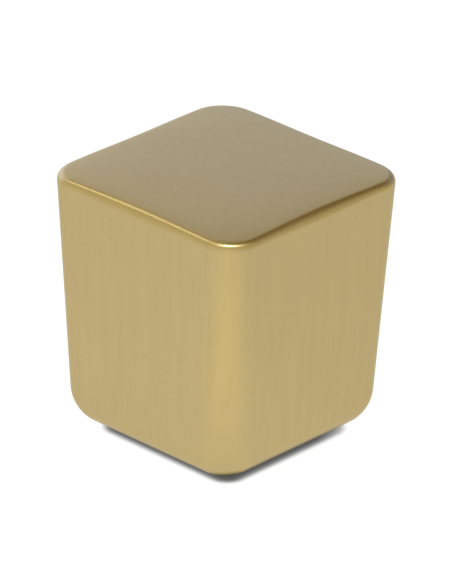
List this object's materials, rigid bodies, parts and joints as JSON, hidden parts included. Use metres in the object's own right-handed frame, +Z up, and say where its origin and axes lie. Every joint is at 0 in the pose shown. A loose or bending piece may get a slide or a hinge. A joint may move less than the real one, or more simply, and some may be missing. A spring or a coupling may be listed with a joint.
{
  "type": "reusable cooling cube",
  "caption": "Sealed satin gold steel cooling cube with tapered sides, rounded upright edges and base, and a flat welded lid.",
  "frame": {"origin": "middle of the flat underside that the cube stands on", "axes": "+Z up to the lid; +X and +Y square to two neighbouring sides"},
  "size_m": [0.026, 0.026, 0.0278],
  "materials": {
    "gold_cup": "satin gold coating over fine upright brushing",
    "gold_lid": "satin gold coating over a fine ground face",
    "gold_weld": "weld ground flush, satin gold coating",
    "gold_plug": "turned, ground flush, satin gold coating",
    "gold_plug_weld": "ring weld ground flush, satin gold coating",
    "coolant": "frozen, cloudy"
  },
  "bodies": {
    "root": {"drawn_cup": "gold_cup", "lid_plate": "gold_lid", "seam_weld": "gold_weld", "fill_plug": "gold_plug", "plug_weld": "gold_plug_weld", "coolant_charge": "coolant"}
  },
  "joints": []
}
